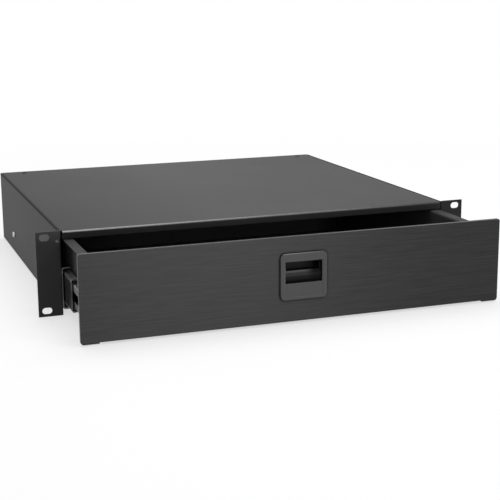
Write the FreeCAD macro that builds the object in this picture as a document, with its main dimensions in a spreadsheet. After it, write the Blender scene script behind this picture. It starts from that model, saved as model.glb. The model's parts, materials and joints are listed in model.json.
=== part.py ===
import FreeCAD, Part
import math
import os
import re

import Sketcher

# Sliding drawer for a 19-inch rack, two units high, shown part of the way open.
# X is to the right, Y to the rear and Z up. The origin is the middle of the four rack slots,
# on the front face of the ears. Pieces that run with the drawer are drawn with the drawer
# closed, and each one's Placement then brings it forward by its share of the opening.

SIZES = [
    # Rack interface
    ("rack_width", 482.6, "over both ears"),
    ("ear_height", 88.1, "two rack units less a running gap"),
    ("ear_reach", 23.9, "each ear past the side wall of the case"),
    ("slot_inset", 8.75, "from the end of an ear to its slots"),
    ("slot_pitch_z", 76.2, "between the slots of one ear"),
    ("slot_length", 10.3, "along X"),
    ("slot_height", 6.8, "along Z"),
    ("ear_hole_radius", 1.5, "small hole near the bend of the left ear"),
    ("ear_hole_inset", 3.8, "from the wall's inner face to that hole"),
    ("ear_hole_drop", 10.75, "from the top of the ear to that hole"),
    # Case
    ("case_depth", 397, "from the front of the ears to the rear"),
    ("case_gauge", 1.5, "sheet of the case"),
    ("wall_round", 1.2, "outer upper edge of a side wall"),
    ("bend_radius", 0.8, "inside radius of every sheet bend"),
    ("top_drop", 0.75, "case top below the top of the ears"),
    ("bottom_rise", 2.05, "case bottom above the bottom of the ears"),
    ("lip_height", 7.8, "front lip of the top sheet"),
    ("lip_gap", 2.2, "from the side wall to the end of the lip"),
    ("top_flange", 7, "side flanges of the top sheet"),
    ("back_flange", 22, "flanges of the back"),
    ("flange_stop", 1, "between the flanges of the top and of the back"),
    ("top_screw_left", 29.4, "from the left side of the case to its top screw"),
    ("top_screw_right", 20.9, "from the right side of the case to its top screw"),
    ("top_screw_radius", 1.5, "thread of a top screw"),
    ("top_head_radius", 3, "head of a top screw"),
    ("top_head_height", 0.7, "kept below the top of the ears"),
    # Ball slides
    ("slide_setback", 3, "fixed member behind the ears"),
    ("slide_tail", 44, "from the fixed member to the rear of the case"),
    ("middle_setback", 20, "closed middle member behind the fixed one's front"),
    ("slide_height", 44, "fixed member"),
    ("slide_thickness", 12.7, "from the side wall to the drawer"),
    ("slide_rise", 25.2, "from the case bottom to the slide's middle"),
    ("slide_web", 1.2, "web of each member"),
    ("slide_flange", 1.5, "flanges of each member"),
    ("slide_bend", 1.4, "inside radius of the members"),
    ("lip_window", 10, "between the turned edges of a drawer member"),
    ("slide_gap", 0.3, "between webs and cages"),
    ("reach_gap", 1.6, "from the flange ends to the drawer member's web"),
    ("cage_web", 0.6, "web of a ball cage"),
    ("cage_strip", 1.2, "strip that holds the balls"),
    ("cage_rim", 0.45, "strip outside the balls"),
    ("cage_length", 130, "both cages"),
    ("cage_end", 3, "from the end of a cage to its first ball"),
    ("ball_radius", 2, "both rows"),
    ("ball_count", 15, "in each row"),
    ("race_depth", 0.4, "groove in a flange"),
    ("race_slack", 0.05, "between ball and groove, and ball and cage"),
    ("bumper_length", 6, "rubber stop at the rear"),
    ("bumper_gap", 0.3, "from the stop to the closed members"),
    ("bumper_height", 30, "between the flanges"),
    ("slide_screw_inset", 53, "from the ends of a member to its end screws"),
    ("slide_screw_drop", 2.9, "case screws below the slide's middle"),
    ("slide_screw_count", 2, "in each fixed member"),
    ("slide_screw_radius", 2, "thread"),
    ("slide_head_radius", 3.5, "heads of the slide screws"),
    ("slide_head_height", 2.4, "heads outside the case"),
    ("drawer_screw_count", 3, "in each drawer member"),
    ("drawer_head_height", 1.9, "lower heads inside the slides"),
    # Drawer
    ("drawer_open", 108.6, "how far the drawer stands open"),
    ("drawer_gauge", 1.5, "sheet of the drawer"),
    ("drawer_tail", 31.4, "from the closed drawer to the rear of the case"),
    ("drawer_clear", 1.2, "drawer below the lip of the case"),
    ("flange_clear", 2.9, "from the drawer's flanges to the side walls"),
    ("floor_rise", 2, "drawer floor above the case bottom"),
    ("pan_flange", 10, "flanges of subfront and drawer back"),
    # Front panel
    ("front_gap", 0.4, "between the closed panel and the ears"),
    ("panel_gauge", 4, "plate of the panel"),
    ("panel_side", 4.9, "panel past the side wall of the case"),
    ("panel_over", 0.15, "panel top above the top of the ears"),
    ("panel_under", 0.95, "panel bottom above the bottom of the ears"),
    ("panel_foot", 18, "full height at each end of the panel"),
    ("panel_relief", 1.2, "step in the bottom edge between the ends"),
    ("panel_top_radius", 2.2, "upper corners"),
    ("panel_bottom_radius", 3, "lower corners"),
    ("panel_chamfer", 0.3, "front edges"),
    ("stud_inset", 42.3, "from the end of the panel to the outer studs"),
    ("stud_drop", 24.2, "from the top of the panel to the upper studs"),
    ("stud_rise", 18.1, "from the bottom of the panel to the lower studs"),
    ("stud_radius", 2, "weld studs"),
    ("stud_length", 9, "behind the panel"),
    ("stud_chamfer", 0.4, "tip of a stud"),
    ("nut_flats", 7, "across flats"),
    ("nut_height", 3.2, "nuts on the studs"),
    ("hole_slack", 0.2, "clearance holes, each side"),
    ("thread_slack", 0.03, "threaded holes and pins, each side"),
    # Latch
    ("latch_offset", 1.8, "latch to the right of the middle"),
    ("latch_drop", 16.65, "from the top of the panel to the bezel"),
    ("bezel_gauge", 2, "in front of the panel"),
    ("bezel_radius", 5, "corners"),
    ("bezel_edge", 0.8, "rounded front edge"),
    ("bezel_band", 8.45, "above the opening"),
    ("bezel_side", 5.25, "beside the opening"),
    ("bezel_foot", 16.95, "below the opening"),
    ("bezel_step", 0.4, "depth of the sunk face"),
    ("bezel_step_side", 1, "sunk face beside the opening"),
    ("bezel_step_low", 3, "from the bottom of the bezel to the sunk face"),
    ("opening_width", 39.2, "finger recess"),
    ("opening_height", 21.9, "finger recess"),
    ("housing_wall", 1.5, "box behind the opening"),
    ("cutout_slack", 0.25, "panel round the housing"),
    ("tab_height", 10, "snap tabs on the housing"),
    ("tab_depth", 4, "ramp of a tab along Y"),
    ("tab_reach", 1.2, "tab past the side of the box"),
    ("boss_x", 14, "from the latch's middle to a screw boss"),
    ("boss_rise", 6.5, "from the bottom of the bezel to the bosses"),
    ("boss_radius", 3.5, "screw bosses behind the bezel"),
    ("latch_screw_radius", 1.5, "thread"),
    ("latch_screw_length", 5.7, "under the head"),
    ("latch_head_radius", 2.7, "heads of guide and latch screws"),
    ("latch_head_height", 1.8, "the same heads"),
    ("pivot_depth", 3.4, "lever axle behind the panel's face"),
    ("pivot_above", 2.5, "lever axle above the opening"),
    ("pivot_radius", 1.25, "lever axle"),
    ("barrel_radius", 2.2, "lever round its axle"),
    ("lever_swing", 25, "pull of the lever in degrees"),
    ("lever_side", 0.35, "lever to housing, each side"),
    ("lever_clear", 0.3, "lever to housing below and above"),
    ("lever_depth", 15.4, "back of the lever behind the panel's face"),
    ("lever_wall", 1.6, "sheet of the scoop"),
    ("lever_drop", 2.8, "lever's top wall below its axle"),
    ("lever_shoulder", 3, "slope at the upper rear of the lever"),
    ("neck_setback", 1, "lever's front behind its barrel"),
    ("bar_top", 9.8, "top of the finger bar below the opening's top"),
    ("bar_setback", 2.4, "finger bar behind the panel's face"),
    ("bar_gauge", 1.9, "finger bar, front to back"),
    ("bar_bulge", 10, "radius of the bar's front"),
    ("bar_round", 0.8, "radius of its top edges"),
    ("link_arm", 8, "axle to link pin"),
    ("link_radius", 1, "link pin"),
    ("link_slack", 0.3, "link pin in the bolt"),
    ("link_ear", 2, "lever round the link pin"),
    ("link_gap", 0.3, "bolt to the lever's ears"),
    ("bolt_width", 16, "along X"),
    ("bolt_depth", 4, "along Y"),
    ("bolt_gap", 0.3, "bolt to the lip, and in the openings round it"),
    ("bolt_catch", 2.9, "bolt above the lip's bottom"),
    ("bolt_ramp", 3, "height of its sloped rear"),
    ("bolt_foot_width", 10, "between the lever's ears"),
    ("bolt_eye", 2.1, "bolt round the link pin"),
    ("guide_slack", 0.1, "bolt in its guide, each side"),
    ("guide_side", 7, "guide beside the bolt"),
    ("guide_wall", 1.5, "behind the bolt"),
    ("guide_space", 0.5, "guide to housing and flange"),
    ("spring_wire", 0.3, "radius of the wire"),
    ("spring_radius", 1.95, "middle of the coil"),
    ("spring_length", 5, "room for the coil"),
    ("spring_turns", 6.5, "the half turn puts the legs on opposite sides"),
    ("spring_margin", 0.5, "from the coil to each end of its room"),
    ("spring_leg", 7, "each straight end"),
]

# The case, from its sizes
WALL_OUT = "(rack_width/2 - ear_reach)"
WALL_IN = "(rack_width/2 - ear_reach - case_gauge)"
SLOT_X = "(rack_width/2 - slot_inset)"
CASE_TOP = "(ear_height/2 - top_drop)"
CASE_BOTTOM = "(-ear_height/2 + bottom_rise)"
CASE_BEND = "(bend_radius + case_gauge)"
FRONT_BEND = "(bend_radius + 2*case_gauge)"
LIP_BOTTOM = f"({CASE_TOP} - lip_height)"
LIP_END = f"({WALL_IN} - lip_gap)"
BACK_FRONT = "(case_depth - back_flange)"
TOP_SCREW_PLACES = (f"(top_screw_left - {WALL_OUT})", f"({WALL_OUT} - top_screw_right)")
TOP_SCREW_Y = "(case_depth - back_flange/2)"

# The slides: distances from the side wall's inner face, and heights from the slide's middle
SLIDE_Z = f"({CASE_BOTTOM} + slide_rise)"
SLIDE_BEND = "(slide_bend + slide_web)"
SLIDE_END = "(case_depth - slide_tail)"
MEMBER_END = "(case_depth - slide_tail - bumper_length - bumper_gap)"
SLIDE_SCREW_Y = "(slide_setback + slide_screw_inset)"
SLIDE_SCREW_RUN = f"({SLIDE_END} - slide_setback - 2*slide_screw_inset)"
DRAWER_SCREW_RUN = f"({MEMBER_END} - slide_setback - 2*slide_screw_inset)"
OUTER_CAGE_D = "(slide_web + slide_gap)"
MIDDLE_D = "(slide_web + 2*slide_gap + cage_web)"
INNER_CAGE_D = "(2*slide_web + 3*slide_gap + cage_web)"
INNER_D = "(2*slide_web + 4*slide_gap + 2*cage_web)"
REACH_D = "(slide_thickness - slide_web - reach_gap)"
BALL_D = f"(({INNER_D} + {REACH_D})/2)"
STRIP_D = f"({BALL_D} + ball_radius + cage_rim)"
RACE = "(ball_radius + race_slack)"
RACE_HALF = f"sqrt({RACE}^2 - ({RACE} - race_depth)^2)"
OUTER_H = "(slide_height/2)"
OUTER_BALL_H = f"({OUTER_H} - slide_flange + race_depth - {RACE})"
MIDDLE_H = f"({OUTER_BALL_H} - {RACE} + race_depth)"
INNER_BALL_H = f"({MIDDLE_H} - slide_flange + race_depth - {RACE})"
INNER_H = f"({INNER_BALL_H} - {RACE} + race_depth)"
CAGE_START = f"((slide_setback + {SLIDE_END} - cage_length)/2)"

# The drawer
DRAWER_OUT = f"({WALL_IN} - slide_thickness)"
DRAWER_IN = f"({WALL_IN} - slide_thickness - drawer_gauge)"
DRAWER_FLANGE = f"({WALL_IN} - flange_clear)"
DRAWER_TOP = f"({LIP_BOTTOM} - drawer_clear)"
FLOOR_BOTTOM = f"({CASE_BOTTOM} + floor_rise)"
FLOOR_TOP = f"({CASE_BOTTOM} + floor_rise + drawer_gauge)"
DRAWER_BEND = "(bend_radius + drawer_gauge)"
PANEL_BACK = "(-front_gap)"
PANEL_FACE = "(-front_gap - panel_gauge)"
SUBFRONT_REAR = "(-front_gap + drawer_gauge)"
DRAWER_END = "(case_depth - drawer_tail)"
PANEL_HALF = f"({WALL_OUT} + panel_side)"
PANEL_TOP = "(ear_height/2 + panel_over)"
PANEL_BOTTOM = "(-ear_height/2 + panel_under)"
STUD_FAR = f"({PANEL_HALF} - stud_inset)"
STUD_HIGH = f"({PANEL_TOP} - stud_drop)"
STUD_LOW = f"({PANEL_BOTTOM} + stud_rise)"

# The latch
BEZEL_FRONT = f"({PANEL_FACE} - bezel_gauge)"
BEZEL_HALF = "(opening_width/2 + bezel_side)"
BEZEL_TOP = f"({PANEL_TOP} - latch_drop)"
OPENING_TOP = f"({BEZEL_TOP} - bezel_band)"
OPENING_BOTTOM = f"({OPENING_TOP} - opening_height)"
BEZEL_BOTTOM = f"({OPENING_BOTTOM} - bezel_foot)"
PIVOT_Y = f"({PANEL_FACE} + pivot_depth)"
PIVOT_Z = f"({OPENING_TOP} + pivot_above)"
SWEEP = "sqrt(pivot_depth^2 + (pivot_above + opening_height - lever_clear)^2)"
ROOM_TOP = f"({PIVOT_Z} + barrel_radius + lever_clear)"
ROOM_BOTTOM = f"({PIVOT_Z} - {SWEEP} - lever_clear)"
ROOM_REAR = f"({PANEL_FACE} + lever_depth + 2*lever_clear)"
HOUSING_TOP = f"({ROOM_TOP} + housing_wall)"
HOUSING_BOTTOM = f"({ROOM_BOTTOM} - housing_wall)"
HOUSING_REAR = f"({ROOM_REAR} + housing_wall)"
HOUSING_HALF = "(opening_width/2 + housing_wall)"
LEVER_HALF = "(opening_width/2 - lever_side)"
LEVER_TOP = f"({PIVOT_Z} - lever_drop)"
LEVER_REAR = f"({PANEL_FACE} + lever_depth)"
LEVER_CORNER = f"({LEVER_TOP} - lever_shoulder)"
BAR_Y = f"({PANEL_FACE} + bar_setback)"
BAR_Z = f"({OPENING_TOP} - bar_top)"
LINK_Y = f"({PIVOT_Y} + link_arm*cos(lever_swing/2))"
LINK_Z = f"({PIVOT_Z} + link_arm*sin(lever_swing/2))"
BOLT_FRONT = "(case_gauge + bolt_gap)"
BOLT_REAR = "(case_gauge + bolt_gap + bolt_depth)"
BOLT_TOP = f"({LIP_BOTTOM} + bolt_catch)"
BOLT_NECK = f"({LINK_Z} + bolt_eye + link_gap)"
EAR_X = "(bolt_foot_width/2 + link_gap)"
GUIDE_REAR = f"({BOLT_REAR} + guide_slack + guide_wall)"
GUIDE_BOTTOM = f"({HOUSING_TOP} + guide_space)"
GUIDE_TOP = f"({DRAWER_TOP} - drawer_gauge - guide_space)"
BOSS_Z = f"({BEZEL_BOTTOM} + boss_rise)"

# How far a cut runs past the metal, and how close two places are that count as one
OVERCUT = 1
CLOSE = 0.01

# The shape of every screw, as shares of its thread radius, head radius and head height
THREAD_TIP = 0.3
HEAD_RIM = 0.4
HEAD_FLAT = 0.45
HEAD_SWELL = (0.82, 0.84)
RECESS_REACH = 0.55
RECESS_HALF = 0.16
RECESS_DEPTH = 0.6

ALL_OPEN = "-drawer_open"
OUTER_CAGE_SHARE = "-drawer_open/4"
MIDDLE_SHARE = "-drawer_open/2"
INNER_CAGE_SHARE = "-drawer_open*3/4"

doc = FreeCAD.newDocument("RackDrawer")
sheet = doc.addObject("Spreadsheet::Sheet", "Sizes")
for row, (alias, number, note) in enumerate(SIZES, start=1):
    sheet.set(f"A{row}", alias)
    sheet.set(f"B{row}", str(number))
    sheet.set(f"C{row}", note)
    sheet.setAlias(f"B{row}", alias)
doc.recompute()

ALIASES = {alias for alias, number, note in SIZES}
pieces = []


def size(text):
    """The number that an expression of sheet names gives."""
    return float(sheet.evalExpression(str(text)))


def tie(owner, prop, text):
    """Bind a property to an expression of sheet names."""
    linked = re.sub(r"[a-z_][a-z_0-9]*", lambda word: "Sizes." * (word[0] in ALIASES) + word[0], str(text))
    owner.setExpression(prop, linked)


# Outlines. A corner is (x, y), or (x, y, radius) where it is rounded. ("left", radius) or
# ("right", radius) between two corners makes the edge between them an arc that turns that way.


def rectangle(x0, x1, y0, y1, radius=None):
    rounding = () if radius is None else (radius,)
    return [(x0, y0) + rounding, (x1, y0) + rounding, (x1, y1) + rounding, (x0, y1) + rounding]


def circle(x, y, radius):
    return ("circle", x, y, radius)


def slot(x, y, length, height):
    return ("slot", x, y, length, height)


class Drawing:
    """Adds constrained outlines to one sketch."""

    def __init__(self, sketch):
        self.sketch = sketch
        self.bound = []
        self.constraints = []
        self.start = sketch.ConstraintCount

    def constrain(self, *parts, text=None):
        if text is not None:
            self.bound.append((self.start + len(self.constraints), text))
            parts += (size(text),)
        self.constraints.append(Sketcher.Constraint(*parts))

    def place(self, geometry, end, x, y):
        self.constrain("DistanceX", -1, 1, geometry, end, text=x)
        self.constrain("DistanceY", -1, 1, geometry, end, text=y)

    def finish(self):
        self.sketch.addConstraint(self.constraints)
        for index, text in self.bound:
            name = f"d{index}"
            self.sketch.renameConstraint(index, name)
            tie(self.sketch, f"Constraints.{name}", text)

    def circle(self, x, y, radius):
        centre = FreeCAD.Vector(size(x), size(y), 0)
        index = self.sketch.addGeometry(Part.Circle(centre, FreeCAD.Vector(0, 0, 1), size(radius)))
        self.place(index, 3, x, y)
        self.constrain("Radius", index, text=radius)

    def slot(self, x, y, length, height):
        half = f"({length} - {height})/2"
        radius = size(height) / 2
        middle = FreeCAD.Vector(size(x), size(y), 0)
        along = FreeCAD.Vector(size(half), 0, 0)
        up = FreeCAD.Vector(0, radius, 0)
        right = self.sketch.addGeometry(arc_about(middle + along, middle + along - up, middle + along + up))
        top = self.sketch.addGeometry(Part.LineSegment(middle + along + up, middle - along + up))
        left = self.sketch.addGeometry(arc_about(middle - along, middle - along + up, middle - along - up))
        bottom = self.sketch.addGeometry(Part.LineSegment(middle - along - up, middle + along - up))
        chain = [right, top, left, bottom]
        for first, second in zip(chain, chain[1:] + chain[:1]):
            self.constrain("Tangent", first, 2, second, 1)
        self.place(right, 3, f"{x} + {half}", y)
        self.place(left, 3, f"{x} - {half}", y)
        self.constrain("Radius", right, text=f"{height}/2")

    def outline(self, entries):
        corners = [entry for entry in entries if entry[0] not in ("left", "right")]
        turns = {}
        passed = 0
        for entry in entries:
            if entry[0] in ("left", "right"):
                turns[passed - 1] = entry
            else:
                passed += 1
        count = len(corners)
        spots = [FreeCAD.Vector(size(corner[0]), size(corner[1]), 0) for corner in corners]
        rounds = {}
        entry_points = list(spots)
        exit_points = list(spots)
        for index, corner in enumerate(corners):
            if len(corner) == 3:
                back = (spots[index - 1] - spots[index]).normalize()
                ahead = (spots[(index + 1) % count] - spots[index]).normalize()
                half_angle = back.getAngle(ahead) / 2
                cut = size(corner[2]) / math.tan(half_angle)
                entry_points[index] = spots[index] + back * cut
                exit_points[index] = spots[index] + ahead * cut
                centre = spots[index] + (back + ahead).normalize() * (size(corner[2]) / math.sin(half_angle))
                rounds[index] = centre
        edges = []
        for index in range(count):
            start = exit_points[index]
            end = entry_points[(index + 1) % count]
            if index in turns:
                way, radius = turns[index]
                centre = centre_of(start, end, size(radius), way)
                edges.append(self.arc(centre, start, end, way))
                self.constrain("Radius", edges[-1][0], text=radius)
            else:
                edges.append((self.sketch.addGeometry(Part.LineSegment(start, end)), 1, 2))
        for index, corner in enumerate(corners):
            before = edges[index - 1]
            after = edges[index]
            if index not in rounds:
                self.constrain("Coincident", before[0], before[2], after[0], after[1])
                self.place(after[0], after[1], corner[0], corner[1])
                continue
            start = entry_points[index]
            end = exit_points[index]
            way = "left" if (start - rounds[index]).cross(end - rounds[index]).z > 0 else "right"
            bend = self.arc(rounds[index], start, end, way)
            self.constrain("Tangent", before[0], before[2], bend[0], bend[1])
            self.constrain("Tangent", bend[0], bend[2], after[0], after[1])
            self.constrain("Radius", bend[0], text=corner[2])
            point = self.sketch.addGeometry(Part.Point(spots[index]), True)
            self.place(point, 1, corner[0], corner[1])
            self.constrain("PointOnObject", point, 1, before[0])
            self.constrain("PointOnObject", point, 1, after[0])

    def arc(self, centre, start, end, way):
        """Adds an arc and gives its number and which of its ends come first and last."""
        if way == "left":
            return self.sketch.addGeometry(arc_about(centre, start, end)), 1, 2
        return self.sketch.addGeometry(arc_about(centre, end, start)), 2, 1


def arc_about(centre, start, end):
    """Arc that turns left about a centre, from start to end."""
    first = math.atan2(start.y - centre.y, start.x - centre.x)
    last = math.atan2(end.y - centre.y, end.x - centre.x)
    if last <= first:
        last += 2 * math.pi
    round_edge = Part.Circle(centre, FreeCAD.Vector(0, 0, 1), (start - centre).Length)
    return Part.ArcOfCircle(round_edge, first, last)


def centre_of(start, end, radius, way):
    chord = end - start
    side = FreeCAD.Vector(-chord.y, chord.x, 0).normalize()
    offset = math.sqrt(max(radius ** 2 - chord.Length ** 2 / 4, 0))
    return (start + end) * 0.5 + side * (offset if way == "left" else -offset)


def origin_feature(body, role):
    return next(feature for feature in body.Origin.OriginFeatures if feature.Role == role)


def new_body(label, forward=None):
    """Empty body of one piece, brought forward with the drawer where forward is given."""
    body = doc.addObject("PartDesign::Body", label)
    body.Label = label
    if forward is not None:
        tie(body, "Placement.Base.y", forward)
    pieces.append(body)
    return body


def extrude(kind, body, plane, start, end, *shapes):
    """Pad or Pocket of some outlines, from start to end along the plane's own axis.

    On XY the outlines are in X and Y, on XZ in X and Z, and on YZ in Y and Z."""
    backward = plane == "XZ_Plane"
    sketch = body.newObject("Sketcher::SketchObject", "Sketch")
    sketch.AttachmentSupport = [(origin_feature(body, plane), "")]
    sketch.MapMode = "FlatFace"
    tie(sketch, "AttachmentOffset.Base.z", f"-({start})" if backward else start)
    drawing = Drawing(sketch)
    for shape in shapes:
        if shape[0] == "circle":
            drawing.circle(*shape[1:])
        elif shape[0] == "slot":
            drawing.slot(*shape[1:])
        else:
            drawing.outline(shape)
    drawing.finish()
    before = body.Shape.Volume if body.Tip else 0
    feature = body.newObject(f"PartDesign::{kind}", kind)
    feature.Profile = sketch
    tie(feature, "Length", f"({end}) - ({start})")
    feature.Reversed = (kind == "Pad") == backward
    doc.recompute()
    change = body.Shape.Volume - before
    if (change > 0) != (kind == "Pad") or change == 0:
        raise ValueError(f"{body.Label}: {feature.Name} changes the volume by {change}")
    return feature


def pad(body, plane, start, end, *shapes):
    return extrude("Pad", body, plane, start, end, *shapes)


def pocket(body, plane, start, end, *shapes):
    return extrude("Pocket", body, plane, start, end, *shapes)


def row_of(body, feature, axis, length, count):
    """Repeats a feature along one of the body's axes."""
    pattern = body.newObject("PartDesign::LinearPattern", "Row")
    pattern.Originals = [feature]
    pattern.Direction = (origin_feature(body, axis), [""])
    tie(pattern, "Length", length)
    tie(pattern, "Occurrences", count)
    body.Tip = pattern
    doc.recompute()
    return pattern


def soften(kind, body, prop, text, chosen):
    """Fillet or Chamfer of the edges that the test picks."""
    base = body.Tip
    names = [f"Edge{index}" for index, edge in enumerate(base.Shape.Edges, start=1) if chosen(edge)]
    feature = body.newObject(f"PartDesign::{kind}", kind)
    feature.Base = (base, names)
    tie(feature, prop, text)
    doc.recompute()
    return feature


def in_plane(edge, axis, text):
    """True for an edge that lies wholly at one place along an axis."""
    box = edge.BoundBox
    low, high = {"x": (box.XMin, box.XMax), "y": (box.YMin, box.YMax), "z": (box.ZMin, box.ZMax)}[axis]
    place = size(text)
    return abs(low - place) < CLOSE and abs(high - place) < CLOSE


def mirrored(label, source):
    """The same piece on the other side of the drawer."""
    copy = doc.addObject("Part::Mirroring", label)
    copy.Label = label
    copy.Source = source
    copy.Normal = FreeCAD.Vector(1, 0, 0)
    pieces.append(copy)
    return copy


def group(label, solids, forward=None):
    """Identical separate solids kept as one piece."""
    piece = doc.addObject("Part::Feature", label)
    piece.Label = label
    piece.Shape = Part.makeCompound(solids)
    if forward is not None:
        tie(piece, "Placement.Base.y", forward)
    pieces.append(piece)
    return piece


def screw(seat, out, thread_radius, length, head_radius, head_height):
    """Cross-recess screw: its head's underside at seat, the head pointing along out."""
    thread = size(thread_radius)
    reach = size(length)
    head = size(head_radius)
    tall = size(head_height)
    tip = thread * THREAD_TIP
    shoulder = tall * HEAD_RIM
    crown = head * HEAD_FLAT
    corners = [
        FreeCAD.Vector(0, 0, -reach),
        FreeCAD.Vector(thread - tip, 0, -reach),
        FreeCAD.Vector(thread, 0, -reach + tip),
        FreeCAD.Vector(thread, 0, 0),
        FreeCAD.Vector(head, 0, 0),
        FreeCAD.Vector(head, 0, shoulder),
    ]
    top = [FreeCAD.Vector(crown, 0, tall), FreeCAD.Vector(0, 0, tall)]
    swell = FreeCAD.Vector(head * HEAD_SWELL[0], 0, tall * HEAD_SWELL[1])
    edges = [Part.LineSegment(a, b).toShape() for a, b in zip(corners, corners[1:])]
    edges.append(Part.Arc(corners[-1], swell, top[0]).toShape())
    edges.append(Part.LineSegment(top[0], top[1]).toShape())
    edges.append(Part.LineSegment(top[1], corners[0]).toShape())
    solid = Part.Face(Part.Wire(edges)).revolve(FreeCAD.Vector(0, 0, 0), FreeCAD.Vector(0, 0, 1), 360)
    arm = head * RECESS_REACH
    blade = head * RECESS_HALF
    deep = tall * RECESS_DEPTH
    for long, wide in ((arm, blade), (blade, arm)):
        corner = FreeCAD.Vector(-long, -wide, tall - deep)
        solid = solid.cut(Part.makeBox(2 * long, 2 * wide, tall, corner))
    turn = FreeCAD.Rotation(FreeCAD.Vector(0, 0, 1), FreeCAD.Vector(*out))
    solid.Placement = FreeCAD.Placement(FreeCAD.Vector(*[size(text) for text in seat]), turn)
    return solid


def at_wall(distance):
    """X of a place that far inside the left side wall's inner face."""
    return f"(-{WALL_IN} + {distance})"


def latch_x(distance):
    return f"(latch_offset + {distance})"


def latch_sides(half):
    """Both X limits of something centred on the latch."""
    return f"(latch_offset - {half})", f"(latch_offset + {half})"


def screw_rows(run, count):
    """Places along Y of the screws of one member."""
    gaps = int(size(count)) - 1
    return [f"({SLIDE_SCREW_Y} + {run}*{step}/{gaps})" for step in range(gaps + 1)]


# Case


def make_side_wall():
    body = new_body("left_side_wall")
    section = [
        ("-rack_width/2", "0"),
        (f"-{WALL_IN}", "0", CASE_BEND),
        (f"-{WALL_IN}", "case_depth"),
        (f"-{WALL_OUT}", "case_depth"),
        (f"-{WALL_OUT}", "case_gauge", "bend_radius"),
        ("-rack_width/2", "case_gauge"),
    ]
    pad(body, "XY_Plane", "-ear_height/2", "ear_height/2", section)
    above = rectangle("case_gauge", f"case_depth + {OVERCUT}", CASE_TOP, f"ear_height/2 + {OVERCUT}")
    below = rectangle("case_gauge", f"case_depth + {OVERCUT}", f"-ear_height/2 - {OVERCUT}", CASE_BOTTOM)
    pocket(body, "YZ_Plane", f"-{WALL_OUT} - {OVERCUT}", f"-{WALL_IN} + {OVERCUT}", above, below)
    rounding = [
        (f"-{WALL_OUT}", f"{CASE_TOP} - wall_round"),
        ("right", "wall_round"),
        (f"-{WALL_OUT} + wall_round", CASE_TOP),
        (f"-{WALL_OUT} + wall_round", f"{CASE_TOP} + {OVERCUT}"),
        (f"-{WALL_OUT} - {OVERCUT}", f"{CASE_TOP} + {OVERCUT}"),
        (f"-{WALL_OUT} - {OVERCUT}", f"{CASE_TOP} - wall_round"),
    ]
    pocket(body, "XZ_Plane", "case_gauge + bend_radius", f"case_depth + {OVERCUT}", rounding)
    heights = ("slot_pitch_z/2", "-slot_pitch_z/2")
    slots = [slot(f"-{SLOT_X}", height, "slot_length", "slot_height") for height in heights]
    pocket(body, "XZ_Plane", f"-{OVERCUT}", f"case_gauge + {OVERCUT}", *slots)
    hole = circle(SLIDE_SCREW_Y, f"{SLIDE_Z} - slide_screw_drop", "slide_screw_radius + hole_slack")
    first = pocket(body, "YZ_Plane", f"-{WALL_OUT} - {OVERCUT}", f"-{WALL_IN} + {OVERCUT}", hole)
    like_right = row_of(body, first, "Y_Axis", SLIDE_SCREW_RUN, "slide_screw_count")
    mirrored("right_side_wall", like_right)
    small = circle(f"-{WALL_IN} - ear_hole_inset", "ear_height/2 - ear_hole_drop", "ear_hole_radius")
    pocket(body, "XZ_Plane", f"-{OVERCUT}", f"case_gauge + {OVERCUT}", small)


def make_case_top():
    body = new_body("case_top")
    section = [
        (f"-{WALL_IN}", f"{CASE_TOP} - top_flange"),
        (f"-{WALL_IN} + case_gauge", f"{CASE_TOP} - top_flange"),
        (f"-{WALL_IN} + case_gauge", f"{CASE_TOP} - case_gauge", "bend_radius"),
        (f"{WALL_IN} - case_gauge", f"{CASE_TOP} - case_gauge", "bend_radius"),
        (f"{WALL_IN} - case_gauge", f"{CASE_TOP} - top_flange"),
        (WALL_IN, f"{CASE_TOP} - top_flange"),
        (WALL_IN, CASE_TOP, CASE_BEND),
        (f"-{WALL_IN}", CASE_TOP, CASE_BEND),
    ]
    pad(body, "XZ_Plane", FRONT_BEND, "case_depth", section)
    lip = [
        ("0", LIP_BOTTOM),
        ("case_gauge", LIP_BOTTOM),
        ("case_gauge", f"{CASE_TOP} - case_gauge", "bend_radius"),
        (FRONT_BEND, f"{CASE_TOP} - case_gauge"),
        (FRONT_BEND, CASE_TOP),
        ("0", CASE_TOP, CASE_BEND),
    ]
    pad(body, "YZ_Plane", f"-{LIP_END}", LIP_END, lip)
    notch_start = f"{BACK_FRONT} - flange_stop"
    notch_floor = f"{CASE_TOP} - top_flange - {OVERCUT}"
    notch = rectangle(notch_start, f"case_depth + {OVERCUT}", notch_floor, f"{CASE_TOP} - case_gauge")
    pocket(body, "YZ_Plane", f"-{WALL_IN} - {OVERCUT}", f"{WALL_IN} + {OVERCUT}", notch)
    holes = [circle(place, TOP_SCREW_Y, "top_screw_radius + hole_slack") for place in TOP_SCREW_PLACES]
    pocket(body, "XY_Plane", f"{CASE_TOP} - case_gauge - {OVERCUT}", f"{CASE_TOP} + {OVERCUT}", *holes)


def make_case_back():
    body = new_body("case_back")
    top = f"({CASE_TOP} - case_gauge)"
    pad(body, "XZ_Plane", BACK_FRONT, "case_depth", rectangle(f"-{WALL_IN}", WALL_IN, CASE_BOTTOM, top))
    side = f"({WALL_IN} - case_gauge)"
    hollow = rectangle(f"-{side}", side, f"{CASE_BOTTOM} + case_gauge", f"{top} - case_gauge", "bend_radius")
    pocket(body, "XZ_Plane", f"{BACK_FRONT} - {OVERCUT}", "case_depth - case_gauge", hollow)
    holes = [circle(place, TOP_SCREW_Y, "top_screw_radius + thread_slack") for place in TOP_SCREW_PLACES]
    pocket(body, "XY_Plane", f"{top} - case_gauge - {OVERCUT}", f"{top} + {OVERCUT}", *holes)


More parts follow.
